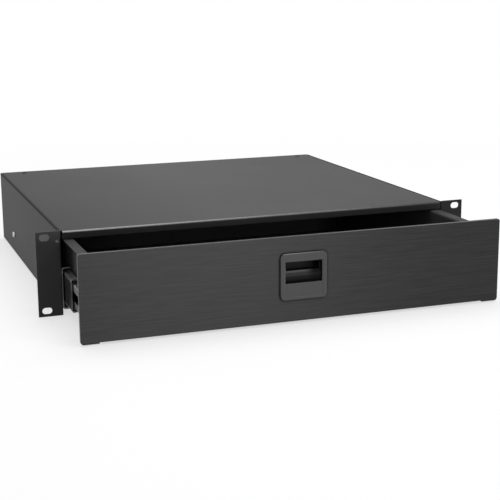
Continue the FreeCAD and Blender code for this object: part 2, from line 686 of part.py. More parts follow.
def make_case_screws():
    seats = [(place, TOP_SCREW_Y, CASE_TOP) for place in TOP_SCREW_PLACES]
    sizes = ("top_screw_radius", "3*case_gauge", "top_head_radius", "top_head_height")
    group("top_screws", [screw(seat, (0, 0, 1), *sizes) for seat in seats])
    height = f"{SLIDE_Z} - slide_screw_drop"
    places = screw_rows(SLIDE_SCREW_RUN, "slide_screw_count")
    seats = [(f"-{WALL_OUT}", place, height) for place in places]
    sizes = ("slide_screw_radius", "case_gauge + slide_web", "slide_head_radius", "slide_head_height")
    screws = group("left_slide_screws", [screw(seat, (-1, 0, 0), *sizes) for seat in seats])
    mirrored("right_slide_screws", screws)


# Ball slides


def race(height, rightward):
    """Groove of a flange at a height, drawn rightward or leftward so that it cuts into the metal."""
    near = f"{at_wall(BALL_D)} - {RACE_HALF}"
    far = f"{at_wall(BALL_D)} + {RACE_HALF}"
    ends = [(near, height), (far, height)]
    if not rightward:
        ends.reverse()
    return [ends[0], ("right", RACE), ends[1]]


def make_slide_outer():
    body = new_body("left_slide_outer")
    low = f"({SLIDE_Z} - {OUTER_H})"
    high = f"({SLIDE_Z} + {OUTER_H})"
    web = at_wall("slide_web")
    reach = at_wall(REACH_D)
    section = [(at_wall("0"), low, SLIDE_BEND), (reach, low), (reach, f"{low} + slide_flange")]
    section += race(f"{low} + slide_flange", False)
    section += [(web, f"{low} + slide_flange", "slide_bend"), (web, f"{high} - slide_flange", "slide_bend")]
    section += race(f"{high} - slide_flange", True)
    section += [(reach, f"{high} - slide_flange"), (reach, high), (at_wall("0"), high, SLIDE_BEND)]
    pad(body, "XZ_Plane", "slide_setback", SLIDE_END, section)
    hole = circle(SLIDE_SCREW_Y, f"{SLIDE_Z} - slide_screw_drop", "slide_screw_radius + thread_slack")
    first = pocket(body, "YZ_Plane", f"{at_wall(0)} - {OVERCUT}", f"{web} + {OVERCUT}", hole)
    row_of(body, first, "Y_Axis", SLIDE_SCREW_RUN, "slide_screw_count")
    mirrored("right_slide_outer", body)


def make_slide_middle():
    body = new_body("left_slide_middle", MIDDLE_SHARE)
    low = f"({SLIDE_Z} - {MIDDLE_H})"
    high = f"({SLIDE_Z} + {MIDDLE_H})"
    web = at_wall(f"{MIDDLE_D} + slide_web")
    reach = at_wall(REACH_D)
    section = [(at_wall(MIDDLE_D), low, SLIDE_BEND)]
    section += race(low, True)
    section += [(reach, low), (reach, f"{low} + slide_flange")]
    section += race(f"{low} + slide_flange", False)
    section += [(web, f"{low} + slide_flange", "slide_bend"), (web, f"{high} - slide_flange", "slide_bend")]
    section += race(f"{high} - slide_flange", True)
    section += [(reach, f"{high} - slide_flange"), (reach, high)]
    section += race(high, False)
    section += [(at_wall(MIDDLE_D), high, SLIDE_BEND)]
    pad(body, "XZ_Plane", "slide_setback + middle_setback", MEMBER_END, section)
    mirrored("right_slide_middle", body)


def make_slide_inner():
    body = new_body("left_slide_inner", ALL_OPEN)
    low = f"({SLIDE_Z} - {INNER_H})"
    high = f"({SLIDE_Z} + {INNER_H})"
    tip = at_wall(INNER_D)
    face = at_wall("slide_thickness")
    web = at_wall("slide_thickness - slide_web")
    behind_lip = at_wall(f"{INNER_D} + slide_web")
    section = [(tip, low, "slide_web")]
    section += race(low, True)
    section += [(face, low, SLIDE_BEND), (face, high, SLIDE_BEND)]
    section += race(high, False)
    section += [(tip, high, "slide_web"), (tip, f"{SLIDE_Z} + lip_window/2")]
    section += [(behind_lip, f"{SLIDE_Z} + lip_window/2"), (behind_lip, f"{high} - slide_flange")]
    section += [(web, f"{high} - slide_flange", "slide_bend"), (web, f"{low} + slide_flange", "slide_bend")]
    section += [(behind_lip, f"{low} + slide_flange"), (behind_lip, f"{SLIDE_Z} - lip_window/2")]
    section += [(tip, f"{SLIDE_Z} - lip_window/2")]
    pad(body, "XZ_Plane", "slide_setback", MEMBER_END, section)
    hole = circle(SLIDE_SCREW_Y, SLIDE_Z, "slide_screw_radius + hole_slack")
    first = pocket(body, "YZ_Plane", f"{web} - {OVERCUT}", f"{face} + {OVERCUT}", hole)
    row_of(body, first, "Y_Axis", DRAWER_SCREW_RUN, "drawer_screw_count")
    mirrored("right_slide_inner", body)


def make_cage(name, distance, ball_height, forward):
    """Ball cage and its two rows of balls."""
    body = new_body(f"left_{name}_cage", forward)
    half = f"({ball_height} + cage_strip/2)"
    low = f"({SLIDE_Z} - {half})"
    high = f"({SLIDE_Z} + {half})"
    web = at_wall(f"{distance} + cage_web")
    section = [
        (at_wall(distance), low),
        (at_wall(STRIP_D), low),
        (at_wall(STRIP_D), f"{low} + cage_strip"),
        (web, f"{low} + cage_strip"),
        (web, f"{high} - cage_strip"),
        (at_wall(STRIP_D), f"{high} - cage_strip"),
        (at_wall(STRIP_D), high),
        (at_wall(distance), high),
    ]
    pad(body, "XZ_Plane", CAGE_START, f"{CAGE_START} + cage_length", section)
    hole = circle(at_wall(BALL_D), f"{CAGE_START} + cage_end", RACE)
    first = pocket(body, "XY_Plane", f"{low} - {OVERCUT}", f"{high} + {OVERCUT}", hole)
    row_of(body, first, "Y_Axis", "cage_length - 2*cage_end", "ball_count")
    mirrored(f"right_{name}_cage", body)
    count = int(size("ball_count"))
    pitch = size("cage_length - 2*cage_end") / (count - 1)
    solids = []
    for way in (-1, 1):
        for step in range(count):
            place = size(f"{CAGE_START} + cage_end") + step * pitch
            centre = FreeCAD.Vector(size(at_wall(BALL_D)), place, size(SLIDE_Z) + way * size(ball_height))
            solids.append(Part.makeSphere(size("ball_radius"), centre))
    balls = group(f"left_{name}_balls", solids, forward)
    mirrored(f"right_{name}_balls", balls)


def make_bumper():
    body = new_body("left_slide_bumper")
    low = f"{SLIDE_Z} - bumper_height/2"
    high = f"{SLIDE_Z} + bumper_height/2"
    block = rectangle(at_wall("slide_web"), at_wall(REACH_D), low, high, "slide_bend")
    pad(body, "XZ_Plane", f"{SLIDE_END} - bumper_length", SLIDE_END, block)
    mirrored("right_slide_bumper", body)


# Drawer


def make_tray():
    body = new_body("drawer_tray", ALL_OPEN)
    under = f"({DRAWER_TOP} - drawer_gauge)"
    section = [
        (f"-{DRAWER_OUT}", FLOOR_BOTTOM, DRAWER_BEND),
        (DRAWER_OUT, FLOOR_BOTTOM, DRAWER_BEND),
        (DRAWER_OUT, under, "bend_radius"),
        (DRAWER_FLANGE, under),
        (DRAWER_FLANGE, DRAWER_TOP),
        (DRAWER_IN, DRAWER_TOP, DRAWER_BEND),
        (DRAWER_IN, FLOOR_TOP, "bend_radius"),
        (f"-{DRAWER_IN}", FLOOR_TOP, "bend_radius"),
        (f"-{DRAWER_IN}", DRAWER_TOP, DRAWER_BEND),
        (f"-{DRAWER_FLANGE}", DRAWER_TOP),
        (f"-{DRAWER_FLANGE}", under),
        (f"-{DRAWER_OUT}", under, "bend_radius"),
    ]
    pad(body, "XZ_Plane", PANEL_BACK, DRAWER_END, section)
    hole = circle(SLIDE_SCREW_Y, SLIDE_Z, "slide_screw_radius + thread_slack")
    first = pocket(body, "YZ_Plane", f"-{DRAWER_OUT} - {OVERCUT}", f"{DRAWER_OUT} + {OVERCUT}", hole)
    row_of(body, first, "Y_Axis", DRAWER_SCREW_RUN, "drawer_screw_count")


def make_pan(label, front, rear, opens):
    """Folded wall between the sides of the tray: a plate with a flange on each side."""
    body = new_body(label, ALL_OPEN)
    plate = rectangle(f"-{DRAWER_IN}", DRAWER_IN, FLOOR_TOP, DRAWER_TOP, DRAWER_BEND)
    pad(body, "XZ_Plane", front, rear, plate)
    side = f"({DRAWER_IN} - drawer_gauge)"
    low = f"{FLOOR_TOP} + drawer_gauge"
    hollow = rectangle(f"-{side}", side, low, f"{DRAWER_TOP} - drawer_gauge", "bend_radius")
    if opens == "rearward":
        pocket(body, "XZ_Plane", f"{front} + drawer_gauge", f"{rear} + {OVERCUT}", hollow)
    else:
        pocket(body, "XZ_Plane", f"{front} - {OVERCUT}", f"{rear} - drawer_gauge", hollow)
    return body


def latch_cutout():
    x0, x1 = latch_sides(f"({HOUSING_HALF} + cutout_slack)")
    return rectangle(x0, x1, f"{HOUSING_BOTTOM} - cutout_slack", f"{HOUSING_TOP} + cutout_slack")


def stud_spots():
    columns = [f"{way}{STUD_FAR}{share}" for share in ("", "/3") for way in ("-", "")]
    return [(x, z) for x in columns for z in (STUD_HIGH, STUD_LOW)]


def boss_spots():
    return [(x, BOSS_Z) for x in latch_sides("boss_x")]


def guide_spots():
    middle = f"({GUIDE_BOTTOM} + {GUIDE_TOP})/2"
    return [(x, middle) for x in latch_sides("(bolt_width/2 + guide_side/2)")]


def make_subfront():
    body = make_pan("drawer_subfront", PANEL_BACK, f"{PANEL_BACK} + pan_flange", "rearward")
    holes = [circle(x, z, "stud_radius + hole_slack") for x, z in stud_spots()]
    holes += [circle(x, z, "latch_screw_radius + hole_slack") for x, z in boss_spots()]
    holes += [circle(x, z, "latch_screw_radius + thread_slack") for x, z in guide_spots()]
    holes.append(latch_cutout())
    pocket(body, "XZ_Plane", f"{PANEL_BACK} - {OVERCUT}", f"{SUBFRONT_REAR} + {OVERCUT}", *holes)
    x0, x1 = latch_sides("(bolt_width/2 + bolt_gap)")
    passage = rectangle(x0, x1, f"{BOLT_FRONT} - bolt_gap", f"{BOLT_REAR} + bolt_gap")
    pocket(body, "XY_Plane", f"{DRAWER_TOP} - drawer_gauge - {OVERCUT}", f"{DRAWER_TOP} + {OVERCUT}", passage)


def make_front_panel():
    body = new_body("front_panel", ALL_OPEN)
    step = f"({PANEL_HALF} - panel_foot)"
    outline = [
        (f"-{PANEL_HALF}", PANEL_BOTTOM, "panel_bottom_radius"),
        (f"-{step}", PANEL_BOTTOM),
        (f"-{step}", f"{PANEL_BOTTOM} + panel_relief"),
        (step, f"{PANEL_BOTTOM} + panel_relief"),
        (step, PANEL_BOTTOM),
        (PANEL_HALF, PANEL_BOTTOM, "panel_bottom_radius"),
        (PANEL_HALF, PANEL_TOP, "panel_top_radius"),
        (f"-{PANEL_HALF}", PANEL_TOP, "panel_top_radius"),
    ]
    pad(body, "XZ_Plane", PANEL_FACE, PANEL_BACK, outline)
    soften("Chamfer", body, "Size", "panel_chamfer", lambda edge: in_plane(edge, "y", PANEL_FACE))
    holes = [circle(x, z, "boss_radius + hole_slack") for x, z in boss_spots()]
    holes.append(latch_cutout())
    pocket(body, "XZ_Plane", f"{PANEL_FACE} - {OVERCUT}", f"{PANEL_BACK} + {OVERCUT}", *holes)


def make_studs():
    """Weld studs and their hexagon nuts."""
    backward = FreeCAD.Vector(0, 1, 0)
    radius = size("stud_radius")
    studs = []
    nuts = []
    for x, z in stud_spots():
        foot = FreeCAD.Vector(size(x), size(PANEL_BACK), size(z))
        stud = Part.makeCylinder(radius, size("stud_length"), foot, backward)
        end = foot.y + size("stud_length")
        tip = [edge for edge in stud.Edges if abs(edge.BoundBox.YMin - end) < CLOSE]
        studs.append(stud.makeChamfer(size("stud_chamfer"), tip))
        seat = FreeCAD.Vector(foot.x, size(SUBFRONT_REAR), foot.z)
        corner = size("nut_flats") / math.sqrt(3)
        turns = [math.radians(60 * step) for step in range(7)]
        ring = [seat + FreeCAD.Vector(corner * math.cos(turn), 0, corner * math.sin(turn)) for turn in turns]
        nut = Part.Face(Part.makePolygon(ring)).extrude(backward * size("nut_height"))
        bore = Part.makeCylinder(size("stud_radius + thread_slack"), size("nut_height"), seat, backward)
        nuts.append(nut.cut(bore))
    group("panel_studs", studs, ALL_OPEN)
    group("panel_nuts", nuts, ALL_OPEN)


def make_drawer_screws():
    """Screws from inside the drawer members into the sides of the tray."""
    seat_x = at_wall("slide_thickness - slide_web")
    seats = [(seat_x, place, SLIDE_Z) for place in screw_rows(DRAWER_SCREW_RUN, "drawer_screw_count")]
    sizes = ("slide_screw_radius", "slide_web + drawer_gauge", "slide_head_radius", "drawer_head_height")
    screws = group("left_drawer_screws", [screw(seat, (-1, 0, 0), *sizes) for seat in seats], ALL_OPEN)
    mirrored("right_drawer_screws", screws)


# Latch


def make_housing():
    body = new_body("latch_housing", ALL_OPEN)
    x0, x1 = latch_sides(BEZEL_HALF)
    pad(body, "XZ_Plane", BEZEL_FRONT, PANEL_FACE, rectangle(x0, x1, BEZEL_BOTTOM, BEZEL_TOP, "bezel_radius"))
    soften("Fillet", body, "Radius", "bezel_edge", lambda edge: in_plane(edge, "y", BEZEL_FRONT))
    x0, x1 = latch_sides("(opening_width/2 + bezel_step_side)")
    sunk_low = f"{BEZEL_BOTTOM} + bezel_step_low"
    sunk = rectangle(x0, x1, sunk_low, f"{OPENING_TOP} + bezel_step_side", "bezel_step_side")
    pocket(body, "XZ_Plane", f"{BEZEL_FRONT} - {OVERCUT}", f"{BEZEL_FRONT} + bezel_step", sunk)
    x0, x1 = latch_sides(HOUSING_HALF)
    pad(body, "XZ_Plane", PANEL_FACE, HOUSING_REAR, rectangle(x0, x1, HOUSING_BOTTOM, HOUSING_TOP))
    x0, x1 = latch_sides("opening_width/2")
    pocket(body, "XZ_Plane", PANEL_FACE, ROOM_REAR, rectangle(x0, x1, ROOM_BOTTOM, ROOM_TOP))
    opening = rectangle(x0, x1, OPENING_BOTTOM, OPENING_TOP)
    pocket(body, "XZ_Plane", f"{BEZEL_FRONT} - {OVERCUT}", f"{PANEL_FACE} + bezel_step", opening)
    x0, x1 = latch_sides("(bolt_width/2 + bolt_gap)")
    notch = rectangle(x0, x1, f"{BOLT_FRONT} - bolt_gap", f"{LINK_Y} + link_arm/2")
    pocket(body, "XY_Plane", f"{ROOM_TOP} - lever_clear", f"{HOUSING_TOP} + {OVERCUT}", notch)
    x0, x1 = latch_sides(f"({HOUSING_HALF} + {OVERCUT})")
    pocket(body, "YZ_Plane", x0, x1, circle(PIVOT_Y, PIVOT_Z, "pivot_radius + thread_slack"))
    bosses = [circle(x, z, "boss_radius") for x, z in boss_spots()]
    pad(body, "XZ_Plane", PANEL_FACE, f"{PANEL_BACK} - thread_slack", *bosses)
    pilots = [circle(x, z, "latch_screw_radius + thread_slack") for x, z in boss_spots()]
    pocket(body, "XZ_Plane", f"{BEZEL_FRONT} + bezel_gauge/2", PANEL_BACK, *pilots)
    tab_front = f"{SUBFRONT_REAR} + thread_slack"
    tabs = []
    for way, bound in zip(("-", "+"), latch_sides(HOUSING_HALF)):
        tip = f"{bound} {way} tab_reach"
        corners = [(bound, tab_front), (tip, tab_front), (bound, f"{tab_front} + tab_depth")]
        tabs.append(corners)
    middle = f"({HOUSING_BOTTOM} + {HOUSING_TOP})/2"
    pad(body, "XY_Plane", f"{middle} - tab_height/2", f"{middle} + tab_height/2", *tabs)


def below_pivot(radius, y):
    """Height of an arc round the lever's axle, at a place along Y."""
    return f"({PIVOT_Z} - sqrt(({radius})^2 - ({y} - {PIVOT_Y})^2))"


def make_lever():
    """Finger lever: a scoop under its axle, with a rounded bar in front to pull on."""
    body = new_body("latch_lever", ALL_OPEN)
    barrel_front = f"({PIVOT_Y} - barrel_radius)"
    barrel_rear = f"({PIVOT_Y} + barrel_radius)"
    silhouette = [
        (BAR_Y, below_pivot(SWEEP, BAR_Y)),
        ("left", SWEEP),
        (LEVER_REAR, below_pivot(SWEEP, LEVER_REAR)),
        (LEVER_REAR, LEVER_CORNER),
        (f"{LEVER_REAR} - lever_shoulder", LEVER_TOP),
        (barrel_rear, LEVER_TOP),
        (barrel_rear, PIVOT_Z),
        ("left", "barrel_radius"),
        (PIVOT_Y, f"{PIVOT_Z} + barrel_radius"),
        ("left", "barrel_radius"),
        (barrel_front, PIVOT_Z),
        (f"{barrel_front} + neck_setback", LEVER_TOP),
        (BAR_Y, BAR_Z),
        ("left", "bar_bulge"),
    ]
    x0, x1 = latch_sides(LEVER_HALF)
    pad(body, "YZ_Plane", x0, x1, silhouette)
    mouth = f"({PANEL_FACE} - {OVERCUT})"
    ceiling = f"({LEVER_TOP} - lever_wall)"
    bar_rear = f"({BAR_Y} + bar_gauge)"
    scoop_rear = f"({LEVER_REAR} - lever_wall)"
    hollow = f"({SWEEP} - lever_wall)"
    scoop = [
        (mouth, BAR_Z),
        (bar_rear, BAR_Z),
        (bar_rear, below_pivot(hollow, bar_rear)),
        ("left", hollow),
        (scoop_rear, below_pivot(hollow, scoop_rear)),
        (scoop_rear, f"{LEVER_CORNER} - lever_wall/2"),
        (f"{scoop_rear} - lever_shoulder + lever_wall/2", ceiling),
        (mouth, ceiling),
    ]
    x0, x1 = latch_sides(f"({LEVER_HALF} - lever_wall)")
    pocket(body, "YZ_Plane", x0, x1, scoop)
    bar_length = size(f"2*({LEVER_HALF} - lever_wall)")
    soften(
        "Fillet", body, "Radius", "bar_round",
        lambda edge: in_plane(edge, "z", BAR_Z) and abs(edge.Length - bar_length) < CLOSE,
    )
    spring_start = latch_x(f"(-{LEVER_HALF} + lever_wall)")
    rear = f"{barrel_rear} + lever_clear"
    spring_room = rectangle(f"{barrel_front} - lever_clear", rear, LEVER_TOP, f"{PIVOT_Z} + 2*barrel_radius")
    pocket(body, "YZ_Plane", spring_start, f"{spring_start} + spring_length", spring_room)
    ear = [
        (f"{LINK_Y} - link_ear", f"{LEVER_TOP} - lever_wall/2"),
        (f"{LINK_Y} + link_ear", f"{LEVER_TOP} - lever_wall/2"),
        (f"{LINK_Y} + link_ear", LINK_Z),
        ("left", "link_ear"),
        (LINK_Y, f"{LINK_Z} + link_ear"),
        ("left", "link_ear"),
        (f"{LINK_Y} - link_ear", LINK_Z),
    ]
    pad(body, "YZ_Plane", latch_x(f"(-{EAR_X} - link_ear)"), latch_x(f"(-{EAR_X})"), ear)
    pad(body, "YZ_Plane", latch_x(EAR_X), latch_x(f"({EAR_X} + link_ear)"), ear)
    x0, x1 = latch_sides(f"({LEVER_HALF} + {OVERCUT})")
    axle_hole = circle(PIVOT_Y, PIVOT_Z, "pivot_radius + thread_slack")
    link_hole = circle(LINK_Y, LINK_Z, "link_radius + thread_slack")
    pocket(body, "YZ_Plane", x0, x1, axle_hole, link_hole)


def make_pin(label, half, y, z, radius):
    """Plain pin across the latch, along X."""
    pin = doc.addObject("Part::Cylinder", label)
    pin.Label = label
    tie(pin, "Radius", radius)
    tie(pin, "Height", f"2*{half}")
    tie(pin, "Placement.Base.x", latch_x(f"(-{half})"))
    tie(pin, "Placement.Base.y", f"{y} - drawer_open")
    tie(pin, "Placement.Base.z", z)
    pin.Placement.Rotation = FreeCAD.Rotation(FreeCAD.Vector(0, 1, 0), 90)
    pieces.append(pin)


def make_bolt():
    body = new_body("latch_bolt", ALL_OPEN)
    foot_rear = f"({LINK_Y} + bolt_eye)"
    tongue = [
        (BOLT_FRONT, f"{LINK_Z} - bolt_eye"),
        (foot_rear, f"{LINK_Z} - bolt_eye"),
        (foot_rear, f"{LINK_Z} + bolt_eye"),
        (BOLT_REAR, f"{LINK_Z} + bolt_eye"),
        (BOLT_REAR, f"{BOLT_TOP} - bolt_ramp"),
        (f"{BOLT_FRONT} + bolt_depth/4", BOLT_TOP),
        (BOLT_FRONT, BOLT_TOP),
    ]
    x0, x1 = latch_sides("bolt_width/2")
    pad(body, "YZ_Plane", x0, x1, tongue)
    low = f"{LINK_Z} - bolt_eye - {OVERCUT}"
    inner_left, inner_right = latch_sides("bolt_foot_width/2")
    outer_left, outer_right = latch_sides(f"(bolt_width/2 + {OVERCUT})")
    left = rectangle(outer_left, inner_left, low, BOLT_NECK)
    right = rectangle(inner_right, outer_right, low, BOLT_NECK)
    pocket(body, "XZ_Plane", f"{BOLT_FRONT} - {OVERCUT}", f"{foot_rear} + {OVERCUT}", left, right)
    pocket(body, "YZ_Plane", x0, x1, circle(LINK_Y, LINK_Z, "link_radius + link_slack"))


def make_guide():
    body = new_body("bolt_guide", ALL_OPEN)
    x0, x1 = latch_sides("(bolt_width/2 + guide_side)")
    pad(body, "XY_Plane", GUIDE_BOTTOM, GUIDE_TOP, rectangle(x0, x1, SUBFRONT_REAR, GUIDE_REAR))
    x0, x1 = latch_sides("(bolt_width/2 + guide_slack)")
    passage = rectangle(x0, x1, f"{BOLT_FRONT} - guide_slack", f"{BOLT_REAR} + guide_slack")
    pocket(body, "XY_Plane", f"{GUIDE_BOTTOM} - {OVERCUT}", f"{GUIDE_TOP} + {OVERCUT}", passage)
    holes = [circle(x, z, "latch_screw_radius + thread_slack") for x, z in guide_spots()]
    pocket(body, "XZ_Plane", f"{SUBFRONT_REAR} - {OVERCUT}", f"{GUIDE_REAR} + {OVERCUT}", *holes)


def make_latch_screws():
    head = ("latch_head_radius", "latch_head_height")
    backward = (0, 1, 0)
    seats = [(x, GUIDE_REAR, z) for x, z in guide_spots()]
    sizes = ("latch_screw_radius", f"{GUIDE_REAR} - {PANEL_BACK} - thread_slack") + head
    group("guide_screws", [screw(seat, backward, *sizes) for seat in seats], ALL_OPEN)
    seats = [(x, SUBFRONT_REAR, z) for x, z in boss_spots()]
    sizes = ("latch_screw_radius", "latch_screw_length") + head
    group("latch_screws", [screw(seat, backward, *sizes) for seat in seats], ALL_OPEN)


def make_spring():
    """Torsion spring round the axle: a coil with one leg over the lever and one under the housing."""
    wire = size("spring_wire")
    radius = size("spring_radius")
    turns = size("spring_turns")
    margin = size("spring_margin")
    rise = size("spring_length") - 2 * margin - 2 * wire
    leg = size("spring_leg")
    coil = Part.makeLongHelix(rise / turns, rise, radius, 0, True)
    first = Part.makeLine(FreeCAD.Vector(radius, leg, 0), FreeCAD.Vector(radius, 0, 0))
    last = Part.makeLine(FreeCAD.Vector(-radius, 0, rise), FreeCAD.Vector(-radius, leg, rise))
    section = Part.Wire(Part.makeCircle(wire, FreeCAD.Vector(radius, leg, 0), FreeCAD.Vector(0, -1, 0)))
    solid = Part.Wire([first] + coil.Edges + [last]).makePipeShell([section], True, True)
    # The coil is drawn along Z with its legs towards +Y, then turned to lie along X.
    turn = FreeCAD.Rotation(FreeCAD.Vector(0, 1, 0), 90)
    start = size(latch_x(f"(-{LEVER_HALF} + lever_wall)")) + margin + wire
    solid.Placement = FreeCAD.Placement(FreeCAD.Vector(start, size(PIVOT_Y), size(PIVOT_Z)), turn)
    group("latch_spring", solid.Solids, ALL_OPEN)


make_side_wall()
make_case_top()
make_case_back()
make_case_screws()
make_slide_outer()
make_slide_middle()
make_slide_inner()
make_cage("outer", OUTER_CAGE_D, OUTER_BALL_H, OUTER_CAGE_SHARE)
make_cage("inner", INNER_CAGE_D, INNER_BALL_H, INNER_CAGE_SHARE)
make_bumper()
make_tray()
make_subfront()
make_pan("drawer_back", f"{DRAWER_END} - pan_flange", DRAWER_END, "forward")
make_front_panel()
make_studs()
make_drawer_screws()
make_housing()
make_lever()
make_pin("latch_pivot_pin", HOUSING_HALF, PIVOT_Y, PIVOT_Z, "pivot_radius")
make_pin("latch_link_pin", f"({EAR_X} + link_ear)", LINK_Y, LINK_Z, "link_radius")
make_bolt()
make_guide()
make_latch_screws()
make_spring()
doc.recompute()

for item in doc.Objects:
    if "Invalid" in item.State or "Error" in item.State:
        raise ValueError(f"{item.Label} failed: {item.State}")
for piece in pieces:
    if piece.Shape.isNull() or not piece.Shape.isValid():
        raise ValueError(f"{piece.Label} has no valid shape")

os.makedirs("parts", exist_ok=True)
for piece in pieces:
    piece.Shape.exportStep(f"parts/{piece.Label}.step")
print(len(pieces), "pieces")
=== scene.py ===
import json
import math
from functools import partial

import bpy
from mathutils import Matrix, Vector


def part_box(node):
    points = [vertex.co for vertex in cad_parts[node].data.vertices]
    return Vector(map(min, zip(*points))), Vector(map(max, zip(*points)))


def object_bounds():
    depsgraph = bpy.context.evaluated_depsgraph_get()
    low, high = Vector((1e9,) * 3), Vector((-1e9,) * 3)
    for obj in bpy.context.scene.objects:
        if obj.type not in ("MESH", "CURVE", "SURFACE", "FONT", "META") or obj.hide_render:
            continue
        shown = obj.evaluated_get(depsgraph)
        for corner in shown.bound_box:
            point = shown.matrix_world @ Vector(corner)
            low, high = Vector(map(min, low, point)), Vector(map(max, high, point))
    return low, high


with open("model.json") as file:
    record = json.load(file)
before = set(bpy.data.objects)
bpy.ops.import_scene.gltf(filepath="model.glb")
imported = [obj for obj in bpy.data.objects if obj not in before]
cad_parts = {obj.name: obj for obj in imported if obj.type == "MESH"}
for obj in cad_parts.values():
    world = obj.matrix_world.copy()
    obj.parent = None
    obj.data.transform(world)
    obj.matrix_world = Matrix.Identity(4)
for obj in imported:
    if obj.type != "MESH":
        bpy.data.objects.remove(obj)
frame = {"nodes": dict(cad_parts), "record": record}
cad_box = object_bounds()
nodes = frame["nodes"]
record = frame["record"]


# Places on the part, in metres, from the lowest and highest corners of its pieces

MM = 0.001

TOP_LOW, TOP_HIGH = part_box("case_top")
RIGHT_WALL_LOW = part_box("right_side_wall")[0]
TRAY_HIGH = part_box("drawer_tray")[1]
BEZEL_LOW, BEZEL_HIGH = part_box("latch_housing")
LEVER_LOW, LEVER_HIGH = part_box("latch_lever")
MEMBER_LOW, MEMBER_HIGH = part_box("left_slide_middle")
SLIDE_MIDDLE = (MEMBER_LOW.z + MEMBER_HIGH.z) / 2
MEMBER_HALF = (MEMBER_HIGH.z - MEMBER_LOW.z) / 2


# Camera, at the photograph's place: millimetres and degrees from the rack slots' middle

CAMERA_PLACE = (-434.7, -1176.2, 292.8)
CAMERA_AZIMUTH = -19.705
CAMERA_ELEVATION = 12.886
CAMERA_ROLL = -0.453
FOCAL_PIXELS = 1200.4
IMAGE_PIXELS = 500
SENSOR = 36.0
CLIP_START = 0.01
CLIP_END = 100


def make_camera():
    azimuth = math.radians(CAMERA_AZIMUTH)
    elevation = math.radians(CAMERA_ELEVATION)
    roll = math.radians(CAMERA_ROLL)
    back = Vector((
        math.sin(azimuth) * math.cos(elevation),
        -math.cos(azimuth) * math.cos(elevation),
        math.sin(elevation),
    ))
    level = (-back).cross(Vector((0, 0, 1))).normalized()
    upright = level.cross(-back)
    right = math.cos(roll) * level + math.sin(roll) * upright
    up = -math.sin(roll) * level + math.cos(roll) * upright
    data = bpy.data.cameras.new("camera")
    data.sensor_fit = "HORIZONTAL"
    data.sensor_width = SENSOR
    data.lens = FOCAL_PIXELS * SENSOR / IMAGE_PIXELS
    data.clip_start = CLIP_START
    data.clip_end = CLIP_END
    camera = bpy.data.objects.new("camera", data)
    bpy.context.scene.collection.objects.link(camera)
    turn = Matrix((right, up, back)).transposed().to_4x4()
    camera.matrix_world = Matrix.Translation(Vector(CAMERA_PLACE) * MM) @ turn
    bpy.context.scene.camera = camera


# Shader nodes

WHOLE = (0.0, 1.0)
REVERSED = (1.0, 0.0)
NOISE_SPAN = (0.3, 0.7)
SHUT_TO_OPEN = (0.45, 0.95)
BLUE_TRACE = 1.02
BEVEL_SAMPLES = 4
CREVICE_SAMPLES = 8
MIX_COLOURS = (6, 7)
MIX_RESULT = 2


def grey(value):
    """A grey with a trace of blue."""
    return (value, value, value * BLUE_TRACE)


def around(middle, spread):
    """A span that reaches as far below a value as above it."""
    return (middle - spread, middle + spread)


